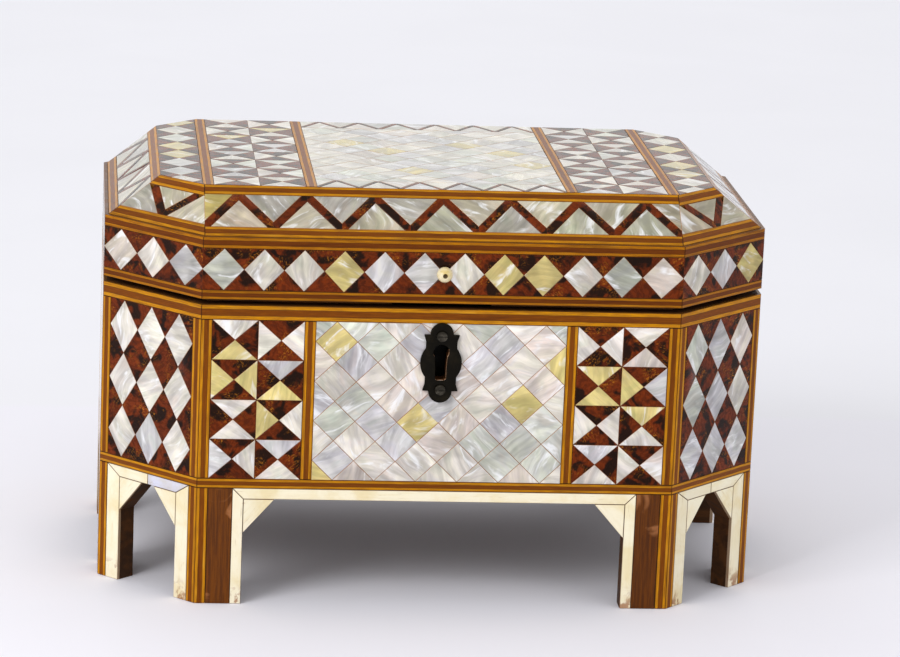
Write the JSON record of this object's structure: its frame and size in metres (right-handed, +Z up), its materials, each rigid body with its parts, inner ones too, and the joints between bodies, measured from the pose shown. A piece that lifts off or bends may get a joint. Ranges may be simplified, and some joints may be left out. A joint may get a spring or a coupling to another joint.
{
  "type": "wind-up music box",
  "caption": "Octagonal casket inlaid with pearl and tortoiseshell on bracket legs, with a hinged bevelled lid, a lock and a key-wound cylinder musical movement under glass.",
  "frame": {"origin": "on the floor, under the middle of the case's overall box", "axes": "+Z up, +X along the long front towards the jewel well, -Y towards the front with the keyhole"},
  "size_m": [0.3, 0.2142, 0.1872],
  "materials": {
    "case_wood": "dark stained hardwood",
    "lining_wood": "plain planed hardwood",
    "leg_wood": "polished dark veneer",
    "pearl": "polished mother of pearl",
    "tortoiseshell": "polished dark tortoiseshell",
    "stringing": "light and dark line inlay, varnished",
    "bone": "polished bone",
    "hinge_brass": "dulled brass",
    "black_iron": "blackened",
    "screw_steel": "worn steel",
    "bed_iron": "japanned",
    "movement_brass": "satin",
    "movement_steel": "satin",
    "key_brass": "polished",
    "clear_glass": "clear"
  },
  "bodies": {
    "case": {"front_board": "case_wood", "back_board": "case_wood", "left_board": "case_wood", "right_board": "case_wood", "corner_boards": "case_wood", "base_board": "case_wood", "rim_lining": "lining_wood", "legs": "case_wood", "apron_rails": "case_wood", "apron_brackets": "case_wood", "body_pearl_tiles": "pearl", "body_shell_tiles": "tortoiseshell", "body_stringing": "stringing", "skirt_bone": "bone", "leg_veneer": "leg_wood", "case_hinge_leaves": "hinge_brass", "hinge_pins": "hinge_brass", "case_hinge_screws": "hinge_brass", "escutcheon": "black_iron", "escutcheon_screws": "screw_steel", "lock_case": "black_iron", "bedplate": "bed_iron", "bedplate_screws": "screw_steel", "click_pin": "screw_steel", "barrel_bridge": "movement_brass", "bearing_post": "movement_brass", "train_plates": "movement_brass", "comb": "movement_steel", "comb_base": "bed_iron", "movement_screws": "screw_steel", "partition_board": "lining_wood", "cover_frame": "lining_wood", "cover_glass": "clear_glass"},
    "lid": {"lid_rails": "case_wood", "lid_bevel_boards": "case_wood", "lid_top_panel": "case_wood", "lid_pearl_tiles": "pearl", "lid_shell_tiles": "tortoiseshell", "lid_stringing": "stringing", "lid_hinge_leaves": "hinge_brass", "lid_hinge_screws": "hinge_brass", "lid_knob": "bone", "lock_staple": "black_iron", "stop_striker": "screw_steel"},
    "bolt": {"lock_bolt": "black_iron"},
    "barrel": {"barrel_drum": "movement_brass", "barrel_cover": "movement_brass", "mainspring": "movement_steel"},
    "winder": {"winding_arbor": "movement_steel", "ratchet_wheel": "movement_steel", "winding_key": "key_brass"},
    "click": {"click": "movement_steel"},
    "cylinder": {"cylinder_arbor": "movement_steel", "cylinder_tube": "movement_brass", "cylinder_pins": "movement_steel", "cylinder_wheel": "movement_brass"},
    "train": {"train_arbor": "movement_steel"},
    "fly": {"fly_arbor": "movement_steel", "fly_vanes": "movement_brass"},
    "stop": {"stop_rod": "screw_steel"}
  },
  "joints": [
    {"name": "lid_hinge", "type": "hinge", "parent": "case", "child": "lid", "pos_m": [0, 0.1047, 0.1392], "axis": [-1, 0, 0], "range_deg": [0, 100]},
    {"name": "bolt_slide", "type": "slide", "parent": "case", "child": "bolt", "axis": [-1, 0, 0], "range_m": [0, 0.005]},
    {"name": "key_turn", "type": "hinge", "parent": "case", "child": "winder", "pos_m": [-0.097, 0, 0.038], "axis": [0, 0, 1], "range_deg": [0, 1890]},
    {"name": "click_swing", "type": "hinge", "parent": "case", "child": "click", "pos_m": [-0.111, -0.0094, 0.06875], "axis": [0, 0, 1], "range_deg": [-3, 4], "stiffness_Nm_per_rad": 0.002},
    {"name": "cylinder_spin", "type": "hinge", "parent": "case", "child": "cylinder", "pos_m": [-0.029, 0, 0.09022], "axis": [1, 0, 0], "continuous": true},
    {"name": "barrel_spin", "type": "hinge", "parent": "case", "child": "barrel", "pos_m": [-0.097, 0, 0.078], "axis": [0, 0, 1], "continuous": true},
    {"name": "train_spin", "type": "hinge", "parent": "case", "child": "train", "pos_m": [0.018, 0.0216, 0.09022], "axis": [1, 0, 0], "continuous": true},
    {"name": "fly_spin", "type": "hinge", "parent": "case", "child": "fly", "pos_m": [0.01, 0.0366, 0.09022], "axis": [1, 0, 0], "continuous": true},
    {"name": "stop_lift", "type": "slide", "parent": "case", "child": "stop", "axis": [0, 0, 1], "range_m": [0, 0.004]}
  ],
  "couplings": [
    {"joint": "barrel_spin", "follows": "cylinder_spin", "ratio": 0.25},
    {"joint": "train_spin", "follows": "cylinder_spin", "ratio": -5},
    {"joint": "fly_spin", "follows": "cylinder_spin", "ratio": 20},
    {"joint": "stop_lift", "follows": "lid_hinge", "m_per_rad": 0.00229}
  ]
}
